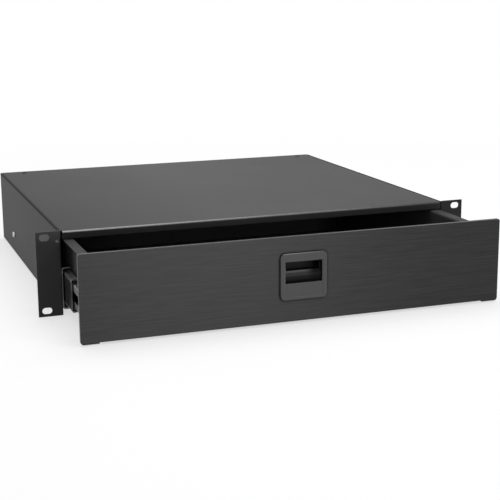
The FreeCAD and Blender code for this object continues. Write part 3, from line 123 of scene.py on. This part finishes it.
class Nodes:
    """Short ways to add and join the shader nodes of one material."""

    SOCKETS = {
        "colour": "Base Color",
        "metal": "Metallic",
        "roughness": "Roughness",
        "ior": "IOR",
        "specular": "Specular IOR Level",
        "anisotropy": "Anisotropic",
        "turn": "Anisotropic Rotation",
        "tangent": "Tangent",
    }

    def __init__(self, name):
        self.material = bpy.data.materials.new(name)
        self.material.use_nodes = True
        self.tree = self.material.node_tree
        self.shader = self.tree.nodes["Principled BSDF"]
        self.place = self.add("ShaderNodeTexCoord").outputs["Object"]
        self.apart = self.add("ShaderNodeSeparateXYZ")
        self.join(self.place, self.apart.inputs["Vector"])

    def add(self, kind, **settings):
        node = self.tree.nodes.new(kind)
        for name, value in settings.items():
            setattr(node, name, value)
        return node

    def join(self, output, socket):
        self.tree.links.new(output, socket)

    def fill(self, socket, value):
        """Joins a node's output to a socket, or sets a plain number or colour on it."""
        if hasattr(value, "links"):
            self.join(value, socket)
        elif isinstance(value, tuple):
            socket.default_value = (*value, 1)
        else:
            socket.default_value = value

    def set(self, **values):
        """Fills sockets of the surface shader, by the short names above."""
        for name, value in values.items():
            self.fill(self.shader.inputs[self.SOCKETS[name]], value)

    def maths(self, operation, first, second=0.0):
        node = self.add("ShaderNodeMath", operation=operation)
        self.fill(node.inputs[0], first)
        self.fill(node.inputs[1], second)
        return node.outputs["Value"]

    def product(self, first, *others):
        for other in others:
            first = self.maths("MULTIPLY", first, other)
        return first

    def ramp(self, value, span, result):
        """Carries a value from one span over to another, and holds it at the ends."""
        node = self.add("ShaderNodeMapRange")
        node.inputs["From Min"].default_value, node.inputs["From Max"].default_value = span
        node.inputs["To Min"].default_value, node.inputs["To Max"].default_value = result
        self.join(value, node.inputs["Value"])
        return node.outputs["Result"]

    def blend(self, mask, first, second):
        """The first colour where a mask is 0, and the second where it is 1."""
        node = self.add("ShaderNodeMix", data_type="RGBA")
        self.join(mask, node.inputs["Factor"])
        for socket, colour in zip(MIX_COLOURS, (first, second)):
            self.fill(node.inputs[socket], colour)
        return node.outputs[MIX_RESULT]

    def noise(self, scale, detail=3.0, roughness=0.5, stretch=(1, 1, 1)):
        mapping = self.add("ShaderNodeMapping")
        mapping.inputs["Scale"].default_value = stretch
        self.join(self.place, mapping.inputs["Vector"])
        node = self.add("ShaderNodeTexNoise")
        node.inputs["Scale"].default_value = scale
        node.inputs["Detail"].default_value = detail
        node.inputs["Roughness"].default_value = roughness
        self.join(mapping.outputs["Vector"], node.inputs["Vector"])
        return node.outputs["Fac"]

    def bevelled(self, radius):
        """The surface's direction, as if its edges were rounded by a radius in millimetres."""
        node = self.add("ShaderNodeBevel", samples=BEVEL_SAMPLES)
        node.inputs["Radius"].default_value = radius * MM
        return node.outputs["Normal"]

    def crevices(self, reach):
        """0 deep in a corner or seam and 1 on open faces."""
        node = self.add("ShaderNodeAmbientOcclusion", samples=CREVICE_SAMPLES)
        node.inputs["Distance"].default_value = reach * MM
        return self.ramp(node.outputs["AO"], SHUT_TO_OPEN, WHOLE)

    def edges(self, radius, sharp, flat):
        """About 1 along the outer edges of a piece and 0 on its faces and in its corners."""
        angle = self.add("ShaderNodeVectorMath", operation="DOT_PRODUCT")
        self.join(self.bevelled(radius), angle.inputs[0])
        self.join(self.add("ShaderNodeNewGeometry").outputs["Normal"], angle.inputs[1])
        turned = self.ramp(angle.outputs["Value"], (flat, sharp), WHOLE)
        return self.product(turned, self.crevices(3 * radius))

    def along(self, axis, start, end, result):
        """Goes from one value to another between two places on an axis of the rack."""
        return self.ramp(self.apart.outputs[axis], (start, end), result)

    def near(self, axis, edge, full, none):
        """1 at one distance from an edge and 0 at another, both in millimetres along an axis."""
        return self.along(axis, edge + none * MM, edge + full * MM, WHOLE)

    def bump(self, height, strength, distance, radius):
        """Fine relief, and edges that look rounded."""
        node = self.add("ShaderNodeBump")
        node.inputs["Strength"].default_value = strength
        node.inputs["Distance"].default_value = distance * MM
        self.join(height, node.inputs["Height"])
        self.join(self.bevelled(radius), node.inputs["Normal"])
        self.join(node.outputs["Normal"], self.shader.inputs["Normal"])


# Powder coat

COAT_SHADES = (0.019, 0.025)
COAT_IOR = 1.222
COAT_ROUGHNESS = 0.46
CLOUD_ROUGHNESS = 0.012
SPECK_ROUGHNESS = 0.04
RUB_AND_HIGHLIGHT_SHADE = 0.10
RUB_AND_HIGHLIGHT_IOR = 1.5

TOP_SHADES = (0.012, 0.017)
TOP_LEFT_IOR = 1.172
TOP_MIDDLE_IOR = 1.252
TOP_RIGHT_IOR = 1.214
BEND_HIGHLIGHT_SHADE = 0.30

WALL_SHADES = (0.050, 0.060)
WALL_IOR = 1.125
EAR_PAINTED_SHADE = 0.030
SEAM_PAINTED_SHADOW = 0.022
SEAM_IOR = 1.06

DRAWER_SHADES = (0.040, 0.052)
DRAWER_IOR = 1.10
DRAWER_ROUGHNESS = 0.48
INSIDE_PAINTED_LIGHT = 0.14


class Coat(Nodes):
    """Black powder coat: fine pebbled skin, faint clouds, and paler and shinier on edges, partly wear
    and partly a painted highlight.
    """

    def __init__(self, name, shades, roughness=COAT_ROUGHNESS, ior=COAT_IOR):
        super().__init__(name)
        dark, light = shades
        self.roughness = roughness
        self.rub_and_highlight_gain = RUB_AND_HIGHLIGHT_IOR - ior
        self.clouds = self.noise(9.0, detail=2.0)
        self.specks = self.noise(420.0, roughness=0.7)
        self.uneven = self.ramp(self.specks, (0.3, 0.6), (0.7, 1.0))
        self.tint = self.blend(self.clouds, grey(dark), grey(light))
        self.shine = ior

    def paint(self, mask, shade):
        self.tint = self.blend(mask, self.tint, grey(shade))

    def paint_wear_and_highlight(self, mask, shade):
        """Paler and shinier where the coat is worn and where a highlight is painted."""
        wear_and_highlight = self.product(mask, self.uneven)
        self.paint(wear_and_highlight, shade)
        gain = self.ramp(wear_and_highlight, WHOLE, (0.0, self.rub_and_highlight_gain))
        self.shine = self.maths("ADD", gain, self.shine)

    def paint_edge_wear_and_highlight(self):
        # Edges paler and shinier: partly wear, partly a painted highlight.
        self.paint_wear_and_highlight(self.edges(radius=0.7, sharp=0.72, flat=0.97), RUB_AND_HIGHLIGHT_SHADE)

    def finished(self):
        self.set(colour=self.tint, ior=self.shine)
        clouded = self.ramp(self.clouds, NOISE_SPAN, around(self.roughness, CLOUD_ROUGHNESS))
        speckled = self.ramp(self.specks, (0.2, 0.8), around(0.0, SPECK_ROUGHNESS))
        self.set(roughness=self.maths("ADD", clouded, speckled))
        pebbles = self.noise(1500.0, detail=2.0, roughness=0.6)
        self.bump(pebbles, strength=0.16, distance=0.2, radius=0.5)
        return self.material


def powder_coat(name):
    coat = Coat(name, COAT_SHADES)
    coat.paint_edge_wear_and_highlight()
    return coat.finished()


def top_coat(name):
    """The case top: a painted sheen, brightest in the middle, and a painted highlight along its rounded
    upper front edge.
    """
    coat = Coat(name, TOP_SHADES)
    # Painted sheen: the top shines most in the middle and less towards its ends.
    rise = coat.along("X", TOP_LOW.x, -30 * MM, (TOP_LEFT_IOR, TOP_MIDDLE_IOR))
    fall = coat.along("X", 0, 200 * MM, (TOP_MIDDLE_IOR, TOP_RIGHT_IOR))
    coat.shine = coat.maths("MINIMUM", rise, fall)
    coat.paint_edge_wear_and_highlight()
    # Painted highlight along the rounded upper front edge, fading towards the right.
    front = coat.near("Y", TOP_LOW.y, full=1.2, none=2.0)
    upper = coat.near("Z", TOP_HIGH.z, full=-1.1, none=-1.9)
    more_at_left = coat.along("X", -200 * MM, 200 * MM, (1.0, 0.1))
    coat.paint_wear_and_highlight(coat.product(front, upper, more_at_left), BEND_HIGHLIGHT_SHADE)
    return coat.finished()


def wall_coat(name):
    """The side walls: painted shade on the right ear, and a dull upper edge behind the ears with a
    painted shadow of the seam.
    """
    coat = Coat(name, WALL_SHADES, ior=WALL_IOR)
    coat.paint_edge_wear_and_highlight()
    # Painted shade on the front of the right ear.
    ear = coat.near("X", RIGHT_WALL_LOW.x, full=2.1, none=0.1)
    ear_front = coat.near("Y", RIGHT_WALL_LOW.y, full=0.5, none=1.0)
    coat.paint(coat.product(ear, ear_front), EAR_PAINTED_SHADE)
    # Painted shadow of the seam: darker and duller along the walls' upper edge behind the ears.
    upper = coat.near("Z", TOP_HIGH.z, full=-0.9, none=-2.5)
    behind_ears = coat.near("Y", TOP_LOW.y, full=4, none=2)
    seam = coat.product(upper, behind_ears)
    coat.paint(seam, SEAM_PAINTED_SHADOW)
    over_seam = coat.maths("SUBTRACT", coat.shine, SEAM_IOR)
    kept = coat.product(over_seam, coat.ramp(seam, WHOLE, REVERSED))
    coat.shine = coat.maths("ADD", kept, SEAM_IOR)
    return coat.finished()


def drawer_coat(name):
    """The drawer: painted light below its rim, but not at its right side."""
    coat = Coat(name, DRAWER_SHADES, DRAWER_ROUGHNESS, DRAWER_IOR)
    # Painted light on the inside below the rim, except near the right side.
    below_rim = coat.near("Z", TRAY_HIGH.z, full=-3.3, none=-0.8)
    off_right_side = coat.near("X", TRAY_HIGH.x, full=-43, none=-17)
    coat.paint(coat.product(below_rim, off_right_side), INSIDE_PAINTED_LIGHT)
    coat.paint_edge_wear_and_highlight()
    return coat.finished()


# Brushed panel

GRAIN = (14, 900, 1500)
BANDS = (26, 600, 1000)
PANEL_DARK = 0.009
PANEL_LIGHT = 0.023
PANEL_EDGE_HIGHLIGHT = 0.07
PANEL_SHINE = (0.305, 0.370)
PANEL_ROUGHNESS = (0.35, 0.42)
AIR_IOR = 1.0


def brushed_panel(name):
    """Black brushed sheet: grain along the panel that spreads its shine upright."""
    sheet = Nodes(name)
    grain = sheet.noise(1.0, roughness=0.65, stretch=GRAIN)
    bands = sheet.noise(1.0, roughness=0.6, stretch=BANDS)
    fine = sheet.ramp(grain, (0.25, 0.75), around(0.0, 0.5))
    coarse = sheet.ramp(bands, NOISE_SPAN, around(0.0, 0.6))
    streak = sheet.ramp(sheet.maths("ADD", fine, coarse), around(0.0, 1.0), WHOLE)
    tint = sheet.blend(streak, grey(PANEL_DARK), grey(PANEL_LIGHT))
    # Painted highlight along the panel's edges.
    edge = sheet.edges(radius=0.6, sharp=0.75, flat=0.98)
    # Reflection dimmed in corners and seams: painted shade.
    shine = sheet.product(sheet.ramp(streak, WHOLE, PANEL_SHINE), sheet.crevices(3))
    sheet.set(colour=sheet.blend(edge, tint, grey(PANEL_EDGE_HIGHLIGHT)))
    sheet.set(ior=sheet.maths("ADD", shine, AIR_IOR))
    sheet.set(roughness=sheet.ramp(streak, WHOLE, PANEL_ROUGHNESS))
    upright = sheet.add("ShaderNodeTangent", direction_type="RADIAL", axis="Z")
    sheet.set(anisotropy=0.8, turn=0.25, tangent=upright.outputs["Tangent"])
    sheet.bump(grain, strength=0.12, distance=0.2, radius=0.4)
    return sheet.material


# Bare and plated metal

ROLLED = (1200, 6, 1200)
GROUND = (6, 900, 900)
UNSTRETCHED = (1, 1, 1)
WARM = (1.0, 0.985, 0.95)
COOL = (0.86, 0.88, 0.91)
POLISHED_DARK = (0.72, 0.72, 0.73)
POLISHED_LIGHT = (0.78, 0.78, 0.78)


def highlighted_corners(metal):
    """1 on the rounded corners of the middle members of the slides, where a highlight is painted, but
    not on their cut ends.
    """
    height = metal.maths("SUBTRACT", metal.apart.outputs["Z"], SLIDE_MIDDLE)
    off_middle = metal.maths("ABSOLUTE", height)
    inner = metal.ramp(off_middle, (MEMBER_HALF - 3.7 * MM, MEMBER_HALF - 2.2 * MM), WHOLE)
    outer = metal.ramp(off_middle, (MEMBER_HALF + 0.2 * MM, MEMBER_HALF + 0.8 * MM), REVERSED)
    facing = metal.add("ShaderNodeSeparateXYZ")
    metal.join(metal.add("ShaderNodeNewGeometry").outputs["True Normal"], facing.inputs["Vector"])
    off_cut_end = metal.ramp(facing.outputs["Y"], (-0.6, -0.4), WHOLE)
    return metal.product(inner, outer, off_cut_end)


def lower_half(metal):
    """1 on the lower half of a slide, where shade is painted."""
    return metal.near("Z", SLIDE_MIDDLE, full=-6, none=0)


def plated(name, light, roughness, stretch=UNSTRETCHED, lines=0.0, where=None, shade=None):
    """Zinc plate: cloudy crystals, rolled lines, and, where a mask is given, another painted shade on
    that part: a painted highlight on the slides' middle members and painted shade on the inner members'
    lower halves.
    """
    metal = Nodes(name)
    clouds = metal.noise(160.0, detail=4.0, roughness=0.6)
    rolled = metal.noise(1.0, roughness=0.6, stretch=stretch)
    cool, warm = (tuple(light * part for part in parts) for parts in (COOL, WARM))
    tint = metal.blend(metal.ramp(clouds, NOISE_SPAN, WHOLE), cool, warm)
    if where is not None:
        tint = metal.blend(where(metal), tint, grey(shade))
    clouded = metal.ramp(clouds, (0.25, 0.75), (roughness - 0.06, roughness + 0.08))
    lined = metal.ramp(rolled, NOISE_SPAN, around(0.0, lines))
    metal.set(colour=tint, metal=1.0, roughness=metal.maths("ADD", clouded, lined))
    metal.bump(rolled, strength=0.1, distance=0.1, radius=0.3)
    return metal.material


def polished(name):
    """Bright steel with faint smears."""
    metal = Nodes(name)
    smear = metal.noise(300.0, detail=2.0)
    metal.set(colour=metal.blend(smear, POLISHED_DARK, POLISHED_LIGHT), metal=1.0)
    metal.set(roughness=metal.ramp(smear, NOISE_SPAN, (0.06, 0.14)))
    return metal.material


# Plastic and rubber

PLASTIC_IOR = 1.45
RECESS_IOR = 1.2
RECESS_PAINTED_SHADE = 0.012
RECESS_EDGE = 0.2
BEZEL_HIGHLIGHT_SHADE = 0.22

GRIP_SHADE = 0.009
GRIP_IOR = 1.17
GRIP_HIGHLIGHT_SHADE = 0.105
GRIP_HIGHLIGHT_IOR = 1.55
RIGHT_END_LOSS = 0.08

RUBBER_SHADE = 0.016
DUST_SHADE = 0.034


def bezel_highlight(plastic):
    """1 on the rounded upper edge of the latch's bezel, where a highlight is painted, less towards the
    right.
    """
    upper = plastic.near("Z", BEZEL_HIGH.z, full=-0.35, none=-0.65)
    front = plastic.near("Y", BEZEL_LOW.y, full=0.7, none=1.0)
    less_at_right = plastic.along("X", BEZEL_LOW.x + 13 * MM, BEZEL_HIGH.x, (1.0, 0.25))
    return plastic.product(upper, front, less_at_right)


def moulded(name, shade, roughness, grain=900.0, depth=0.12, ior=PLASTIC_IOR, recess=False):
    """Moulded plastic: a fine eroded texture, paler on edges (partly wear, partly a painted highlight),
    and painted shade inside a recess.
    """
    plastic = Nodes(name)
    texture = plastic.noise(grain, roughness=0.65)
    clouds = plastic.noise(60.0, detail=2.0)
    # Edges paler: partly wear, partly a painted highlight.
    edge = plastic.edges(radius=0.9, sharp=0.8, flat=0.985)
    tint = plastic.blend(clouds, grey(0.9 * shade), grey(1.1 * shade))
    if recess:
        # Painted shade inside the recess, with dimmer reflection and edges.
        behind = plastic.near("Y", BEZEL_LOW.y, full=1.3, none=0.8)
        tint = plastic.blend(behind, tint, grey(RECESS_PAINTED_SHADE))
        # Painted highlight on the bezel's upper edge.
        tint = plastic.blend(bezel_highlight(plastic), tint, grey(BEZEL_HIGHLIGHT_SHADE))
        edge = plastic.product(edge, plastic.ramp(behind, WHOLE, (1.0, RECESS_EDGE)))
        ior = plastic.ramp(behind, WHOLE, (ior, RECESS_IOR))
    plastic.set(colour=plastic.blend(edge, tint, grey(3 * shade)), ior=ior)
    plastic.set(roughness=plastic.ramp(texture, NOISE_SPAN, (roughness - 0.05, roughness + 0.06)))
    plastic.bump(texture, depth, distance=0.15, radius=0.4)
    return plastic.material


def finger_grip(name):
    """Smooth plastic, with a painted highlight along the bar's upper edge and painted shade at its
    right end.
    """
    plastic = Nodes(name)
    texture = plastic.noise(1200.0, roughness=0.65)
    # Painted highlight along the bar's upper edge.
    up_to_edge = plastic.maths("POWER", plastic.near("Z", LEVER_LOW.z, full=12.7, none=7.2), 2.0)
    not_above = plastic.near("Z", LEVER_LOW.z, full=13.2, none=14.2)
    front = plastic.near("Y", LEVER_LOW.y, full=6.6, none=9.6)
    off_right_end = plastic.near("X", LEVER_HIGH.x, full=-18, none=-8)
    grip_highlight = plastic.product(up_to_edge, not_above, front, off_right_end)
    shine = plastic.ramp(grip_highlight, WHOLE, (GRIP_IOR, GRIP_HIGHLIGHT_IOR))
    # Painted shade at the bar's right end: less shine there.
    loss = plastic.along("X", LEVER_HIGH.x - 15 * MM, LEVER_HIGH.x - 6 * MM, (0.0, RIGHT_END_LOSS))
    plastic.set(colour=plastic.blend(grip_highlight, grey(GRIP_SHADE), grey(GRIP_HIGHLIGHT_SHADE)))
    plastic.set(ior=plastic.maths("SUBTRACT", shine, loss))
    plastic.set(roughness=plastic.ramp(texture, NOISE_SPAN, (0.30, 0.38)))
    plastic.bump(texture, strength=0.05, distance=0.15, radius=0.4)
    return plastic.material


def rubber(name):
    """Black rubber with a little dust."""
    soft = Nodes(name)
    skin = soft.noise(700.0)
    dust = soft.ramp(soft.noise(90.0), (0.45, 0.7), WHOLE)
    soft.set(colour=soft.blend(dust, grey(RUBBER_SHADE), grey(DUST_SHADE)))
    soft.set(roughness=soft.ramp(skin, NOISE_SPAN, (0.68, 0.82)))
    soft.bump(skin, strength=0.2, distance=0.2, radius=0.5)
    return soft.material


# Which surface goes on which piece

slide_member = partial(plated, roughness=0.34, stretch=ROLLED, lines=0.05)

MAKERS = {
    "powder_coat": powder_coat,
    "top_coat": top_coat,
    "wall_coat": wall_coat,
    "drawer_coat": drawer_coat,
    "brushed_black": brushed_panel,
    "zinc": partial(plated, light=0.56, roughness=0.30),
    "black_screw": partial(moulded, shade=0.012, roughness=0.45, grain=700.0, depth=0.04, ior=COAT_IOR),
    # Painted highlight on the rounded corners of the middle members.
    "slide_steel": partial(slide_member, light=0.15, where=highlighted_corners, shade=0.7),
    # Painted shade on the lower half of the inner members.
    "rail_steel": partial(slide_member, light=0.72, where=lower_half, shade=0.24),
    "cage_steel": partial(plated, light=0.44, roughness=0.36, stretch=ROLLED, lines=0.04),
    "ball_steel": polished,
    "pin_steel": partial(plated, light=0.6, roughness=0.24, stretch=GROUND, lines=0.04),
    "spring_steel": partial(plated, light=0.45, roughness=0.3),
    "latch_plastic": partial(moulded, shade=0.036, roughness=0.50, recess=True),
    "lever_plastic": finger_grip,
    "bolt_plastic": partial(moulded, shade=0.05, roughness=0.42),
    "bumper_rubber": rubber,
}

OWN_SURFACE = {
    "case_top": "top_coat",
    "left_side_wall": "wall_coat",
    "right_side_wall": "wall_coat",
    "left_slide_inner": "rail_steel",
    "right_slide_inner": "rail_steel",
}


def dress_nodes():
    """Gives each CAD node the finished material of its slot, or its own surface."""
    made = {}
    for entry in record["subparts"]:
        slot = OWN_SURFACE.get(entry["node"], entry["material_slot"])
        if slot not in made:
            made[slot] = MAKERS[slot](slot)
        for place in nodes[entry["node"]].material_slots:
            place.material = made[slot]


# Stage and light, in metres

WHITE = (1, 1, 1, 1)
WORLD_FILL = 0.32

FLOOR_CLEARANCE = 0.2 * MM
FLOOR_REACH = 30.0
FLOOR_DARK = (0.93, 0.93, 0.93)
FLOOR_LIGHT = (0.95, 0.95, 0.95)
FLOOR_BOUNCE = (0.2, 0.2, 0.2)
FLOOR_FADE = (0.5, 1.4)
NEAR_WHITE = 0.6

OBJECT_MIDDLE = (0.0, 0.1, 0.0)
PANEL_MIDDLE = (0.0, -0.1, 0.0)


def seen_directly(tree):
    """1 for camera, glossy and transmission rays, and 0 for the light that falls on things."""
    path = tree.nodes.new("ShaderNodeLightPath")
    seen = path.outputs["Is Camera Ray"]
    for name in ("Is Glossy Ray", "Is Transmission Ray"):
        either = tree.nodes.new("ShaderNodeMath")
        either.operation = "MAXIMUM"
        tree.links.new(seen, either.inputs[0])
        tree.links.new(path.outputs[name], either.inputs[1])
        seen = either.outputs["Value"]
    return seen


def make_world():
    """White background, also in reflections, and an even fill for everything else."""
    world = bpy.data.worlds.new("studio")
    world.use_nodes = True
    bpy.context.scene.world = world
    tree = world.node_tree
    background = tree.nodes["Background"]
    background.inputs["Color"].default_value = WHITE
    strength = tree.nodes.new("ShaderNodeMapRange")
    strength.inputs["To Min"].default_value = WORLD_FILL
    strength.inputs["To Max"].default_value = 1.0
    tree.links.new(seen_directly(tree), strength.inputs["Value"])
    tree.links.new(strength.outputs["Result"], background.inputs["Strength"])


def floor_surface():
    """Pale to the eye, darker to the light it bounces, and pure white away from the object."""
    pale = Nodes("floor")
    seen = seen_directly(pale.tree)
    shade = pale.blend(pale.noise(1.5, detail=2.0), FLOOR_DARK, FLOOR_LIGHT)
    pale.set(colour=pale.blend(seen, FLOOR_BOUNCE, shade), roughness=0.9, specular=0.1)
    distance = pale.add("ShaderNodeVectorMath", operation="LENGTH")
    pale.join(pale.place, distance.inputs[0])
    away = pale.ramp(distance.outputs["Value"], FLOOR_FADE, (NEAR_WHITE, 1.0))
    white = pale.add("ShaderNodeEmission")
    either = pale.add("ShaderNodeMixShader")
    pale.join(pale.product(away, seen), either.inputs[0])
    pale.join(pale.shader.outputs["BSDF"], either.inputs[1])
    pale.join(white.outputs["Emission"], either.inputs[2])
    pale.join(either.outputs["Shader"], pale.tree.nodes["Material Output"].inputs["Surface"])
    return pale.material


def make_floor(height):
    """Floor that keeps the object's shadow."""
    mesh = bpy.data.meshes.new("floor")
    round_about = ((-1, -1), (1, -1), (1, 1), (-1, 1))
    corners = [(x * FLOOR_REACH, y * FLOOR_REACH, height) for x, y in round_about]
    mesh.from_pydata(corners, [], [(0, 1, 2, 3)])
    floor = bpy.data.objects.new("floor", mesh)
    bpy.context.scene.collection.objects.link(floor)
    mesh.materials.append(floor_surface())


def soft_box(name, place, aim, size, watts):
    """Rectangular area lamp at a place, turned to what it lights."""
    data = bpy.data.lights.new(name, "AREA")
    data.shape = "RECTANGLE"
    data.size, data.size_y = size
    data.energy = watts
    lamp = bpy.data.objects.new(name, data)
    bpy.context.scene.collection.objects.link(lamp)
    lamp.location = place
    lamp.rotation_euler = (Vector(aim) - Vector(place)).to_track_quat("-Z", "Y").to_euler()


make_camera()
dress_nodes()
make_world()
make_floor(cad_box[0][2] - FLOOR_CLEARANCE)
soft_box("overhead", (0.2, 0.4, 2.2), OBJECT_MIDDLE, size=(2.4, 2.4), watts=47)
soft_box("front", (0.47, -2.1, 0.15), PANEL_MIDDLE, size=(0.8, 0.25), watts=14)
soft_box("key", (1.5, -1.7, 1.8), OBJECT_MIDDLE, size=(0.6, 0.6), watts=8)
soft_box("left", (-0.9, -2.3, 0.7), OBJECT_MIDDLE, size=(0.6, 0.6), watts=6)

bpy.context.scene.view_settings.view_transform = "Standard"
